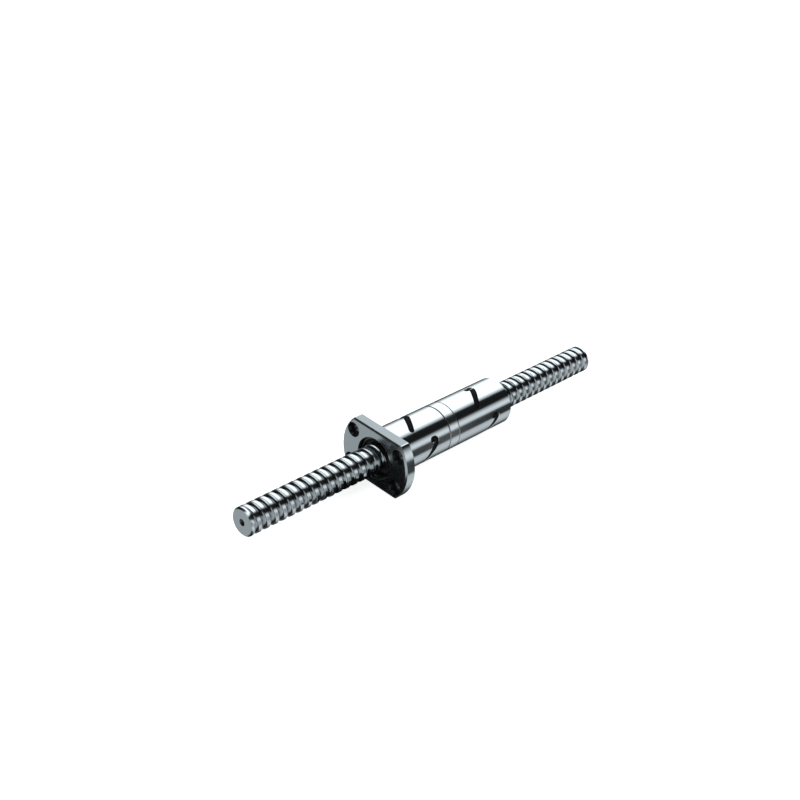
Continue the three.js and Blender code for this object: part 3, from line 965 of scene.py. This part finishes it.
def light_world():
    """Soft light on every side: bright strips along the screw with dark ones between. The camera itself
    sees a plain pale backdrop."""
    world = bpy.data.worlds.new("studio")
    bpy.context.scene.world = world
    world.use_nodes = True
    tree = world.node_tree
    tree.nodes.clear()
    direction = add_node(tree, "ShaderNodeTexCoord").outputs["Generated"]
    x, y, z = add_node(tree, "ShaderNodeSeparateXYZ", {0: direction}).outputs
    turn = calc(tree, "DIVIDE", calc(tree, "ARCTAN2", z, y), 2 * math.pi)
    share = calc(tree, "FRACT", calc(tree, "ADD", turn, 1.25))
    strips = ramp_of(tree, share, by_angle(STRIPS), COOL)
    between = ramp_of(tree, share, by_angle(BETWEEN), COOL)
    low, high = GAP_LIGHT[0][0], GAP_LIGHT[-1][0]
    along = calc(tree, "DIVIDE", calc(tree, "SUBTRACT", x, low), high - low)
    gap_stops = [((place - low) / (high - low), level) for place, level in GAP_LIGHT]
    gap_light = ramp_of(tree, along, gap_stops)
    gap = ramp_of(tree, share, by_angle(GAP_SHARE))
    taken = calc(tree, "MULTIPLY", gap, calc(tree, "SUBTRACT", 1.0, gap_light))
    kept = calc(tree, "SUBTRACT", 1.0, taken)
    strips = blended(tree, kept, (0, 0, 0, 1), strips)
    # the ramp holds no negative levels, so its starts are stored one higher
    start = ramp_of(tree, share, by_angle([(degrees, level + 1) for degrees, level in STRIP_START]))
    past = calc(tree, "ADD", calc(tree, "SUBTRACT", x, start), 1.0 + STRIP_SOFTNESS / 2)
    ahead = smooth_step(tree, calc(tree, "DIVIDE", past, STRIP_SOFTNESS))
    past = calc(tree, "SUBTRACT", -STRIP_START_BEHIND, x)
    behind = smooth_step(tree, calc(tree, "DIVIDE", past, STRIP_SOFTNESS / 2))
    around_screw = blended(tree, calc(tree, "MAXIMUM", ahead, behind), between, strips)
    seen = add_node(tree, "ShaderNodeLightPath").outputs["Is Camera Ray"]
    colour = blended(tree, seen, around_screw, (1, 1, 1, 1))
    background = add_node(tree, "ShaderNodeBackground", {"Color": colour, "Strength": 1.0})
    add_node(tree, "ShaderNodeOutputWorld", {"Surface": background.outputs[0]})


def flat_card(name, low, high, material):
    """A level rectangle between two corners, part of the studio."""
    mesh = bpy.data.meshes.new(name)
    corners = [(low.x, low.y), (high.x, low.y), (high.x, high.y), (low.x, high.y)]
    mesh.from_pydata([(x, y, low.z) for x, y in corners], [], [(0, 1, 2, 3)])
    mesh.materials.append(material)
    card = bpy.data.objects.new(name, mesh)
    bpy.context.scene.collection.objects.link(card)
    return card


def add_floor():
    """A plain pale floor under the object. The polished steel mirrors the studio, not the floor."""
    half = FLOOR_HALF_SIZE
    level = CAD_BOX[0].z
    material, tree, shader = new_material("pale_floor", Roughness=0.9, Emission_Strength=0.8)
    coordinates = add_node(tree, "ShaderNodeTexCoord").outputs["Object"]
    mottle = add_node(tree, "ShaderNodeTexNoise", {"Vector": coordinates, "Scale": 40.0}).outputs["Fac"]
    paper = blended(tree, mottle, tone((0.9, 0.9, 0.9)), tone((0.93, 0.93, 0.93)))
    tree.links.new(paper, shader.inputs["Base Color"])
    shader.inputs["Emission Color"].default_value = (1, 1, 1, 1)
    floor = flat_card("floor", Vector((-half, -half, level)), Vector((half, half, level)), material)
    floor.visible_glossy = False


def add_floor_shade_card():
    """A dark card on the floor in front of the flange, which only its face and the thread mirror: a
    painted shadow in their reflections, for the shade on the floor there.
    """
    material, tree, shader = new_material("painted_floor_shade", Roughness=1.0)
    weave = add_node(tree, "ShaderNodeTexNoise", {"Scale": 900.0}).outputs["Fac"]
    black = blended(tree, weave, tone((0.004,) * 3), tone((0.012,) * 3))
    tree.links.new(black, shader.inputs["Base Color"])
    level = CAD_BOX[0].z / MM + SHADE_CARD_HEIGHT
    low = Vector((FLANGE_FACE - SHADE_CARD_REACH[0], SHADE_CARD_SIDES[0], level)) * MM
    high = Vector((FLANGE_FACE - SHADE_CARD_REACH[1], SHADE_CARD_SIDES[1], level)) * MM
    floor_shade_card = flat_card("floor_shade_card", low, high, material)
    floor_shade_card.visible_camera = False
    floor_shade_card.visible_diffuse = False
    floor_shade_card.visible_shadow = False


def add_softbox():
    """A large soft light overhead that lights the floor and the dark polymer pieces."""
    light = bpy.data.lights.new("softbox", "AREA")
    light.shape = "DISK"
    light.size = SOFTBOX_SIZE
    light.energy = SOFTBOX_POWER
    softbox = bpy.data.objects.new("softbox", light)
    softbox.location = SOFTBOX_PLACE
    softbox.rotation_euler = Vector(softbox.location).to_track_quat("Z", "Y").to_euler()
    softbox.visible_glossy = False
    bpy.context.scene.collection.objects.link(softbox)


build_pieces()
add_camera()
light_world()
add_floor()
add_floor_shade_card()
add_softbox()
bpy.context.scene.view_settings.view_transform = "Standard"
